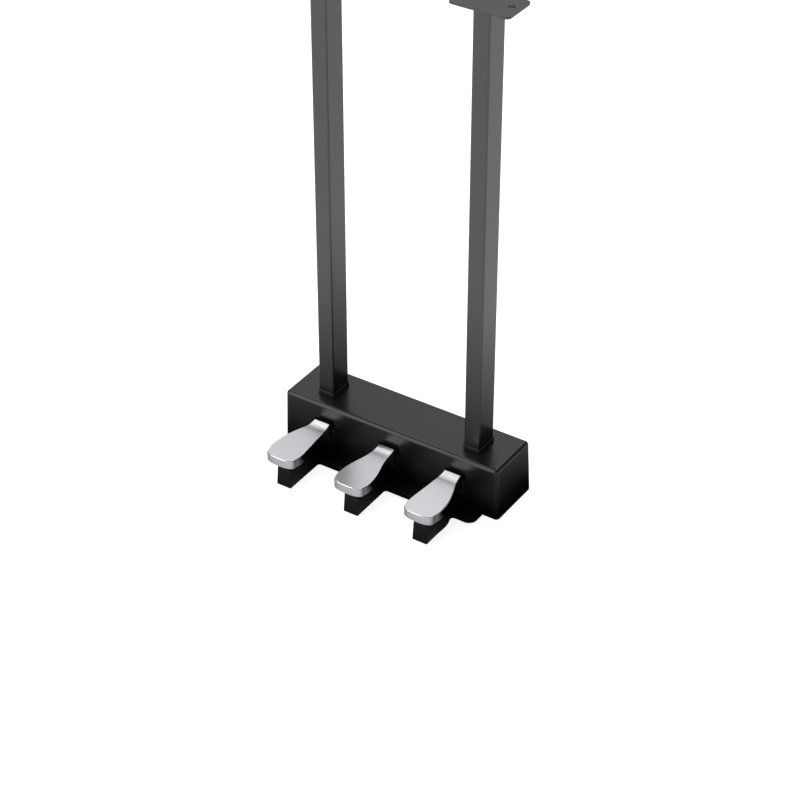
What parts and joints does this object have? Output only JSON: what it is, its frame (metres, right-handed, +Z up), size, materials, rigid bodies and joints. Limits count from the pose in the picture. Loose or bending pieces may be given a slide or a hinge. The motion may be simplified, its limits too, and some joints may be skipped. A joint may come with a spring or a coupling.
{
  "type": "piano pedal unit",
  "caption": "Pedal lyre of a digital piano: a low box with hinged chrome pedals in front and rectangular posts rising to mounting flanges.",
  "frame": {"origin": "on the floor, under the middle of the whole unit", "axes": "+Z up along the posts, -Y towards the player and the pedal tips, +X to the player's right"},
  "size_m": [0.286, 0.1582, 0.6003],
  "materials": {
    "satin_black_cover": "satin",
    "black_base": "satin",
    "chrome": "polished",
    "black_arm": "matt",
    "zinc_steel": "zinc plated",
    "spring_steel": "drawn wire",
    "rubber": "matt",
    "felt": "felt",
    "black_plastic": "satin",
    "painted_tube": "satin powder coat",
    "board_green": "solder mask",
    "wire_grey": "wire sleeve"
  },
  "bodies": {
    "lyre_frame": {"shell_cover": "satin_black_cover", "base_plate": "black_base", "pivot_pin_left": "zinc_steel", "pivot_bracket_left": "zinc_steel", "bracket_screw_left": "zinc_steel", "return_spring_left": "spring_steel", "down_stop_left": "rubber", "foot_left": "rubber", "up_stop_left": "felt", "sensor_left": "black_plastic", "pivot_pin_middle": "zinc_steel", "pivot_bracket_middle": "zinc_steel", "bracket_screw_middle": "zinc_steel", "return_spring_middle": "spring_steel", "down_stop_middle": "rubber", "foot_middle": "rubber", "up_stop_middle": "felt", "sensor_middle": "black_plastic", "pivot_pin_right": "zinc_steel", "pivot_bracket_right": "zinc_steel", "bracket_screw_right": "zinc_steel", "return_spring_right": "spring_steel", "down_stop_right": "rubber", "foot_right": "rubber", "up_stop_right": "felt", "sensor_right": "black_plastic", "post_left": "painted_tube", "top_flange_left": "painted_tube", "post_plug_left": "zinc_steel", "post_bolt_left": "zinc_steel", "rail_screw_left": "zinc_steel", "top_screw_left": "zinc_steel", "post_collar_left": "black_plastic", "foot_rear_left": "rubber", "post_right": "painted_tube", "top_flange_right": "painted_tube", "post_plug_right": "zinc_steel", "post_bolt_right": "zinc_steel", "rail_screw_right": "zinc_steel", "top_screw_right": "zinc_steel", "post_collar_right": "black_plastic", "foot_rear_right": "rubber", "cover_screw_1": "zinc_steel", "cover_screw_2": "zinc_steel", "cover_screw_3": "zinc_steel", "cover_screw_4": "zinc_steel", "chassis_rail": "zinc_steel", "circuit_board": "board_green", "wire_harness": "wire_grey", "cable_socket": "black_plastic"},
    "left_lever": {"pedal_left": "chrome", "arm_left": "black_arm", "cap_screw_left": "zinc_steel"},
    "middle_lever": {"pedal_middle": "chrome", "arm_middle": "black_arm", "cap_screw_middle": "zinc_steel"},
    "right_lever": {"pedal_right": "chrome", "arm_right": "black_arm", "cap_screw_right": "zinc_steel"}
  },
  "joints": [
    {"name": "left_pedal_hinge", "type": "hinge", "parent": "lyre_frame", "child": "left_lever", "pos_m": [-0.0872, 0.06115, 0.0403], "axis": [1, 0, 0], "range_deg": [0, 3.9], "stiffness_Nm_per_rad": 20, "springref_deg": -4.01, "deforming": ["return_spring_left"]},
    {"name": "middle_pedal_hinge", "type": "hinge", "parent": "lyre_frame", "child": "middle_lever", "pos_m": [0, 0.06115, 0.0403], "axis": [1, 0, 0], "range_deg": [0, 3.9], "stiffness_Nm_per_rad": 20, "springref_deg": -4.01, "deforming": ["return_spring_middle"]},
    {"name": "right_pedal_hinge", "type": "hinge", "parent": "lyre_frame", "child": "right_lever", "pos_m": [0.0872, 0.06115, 0.0403], "axis": [1, 0, 0], "range_deg": [0, 3.9], "stiffness_Nm_per_rad": 20, "springref_deg": -4.01, "deforming": ["return_spring_right"]}
  ]
}
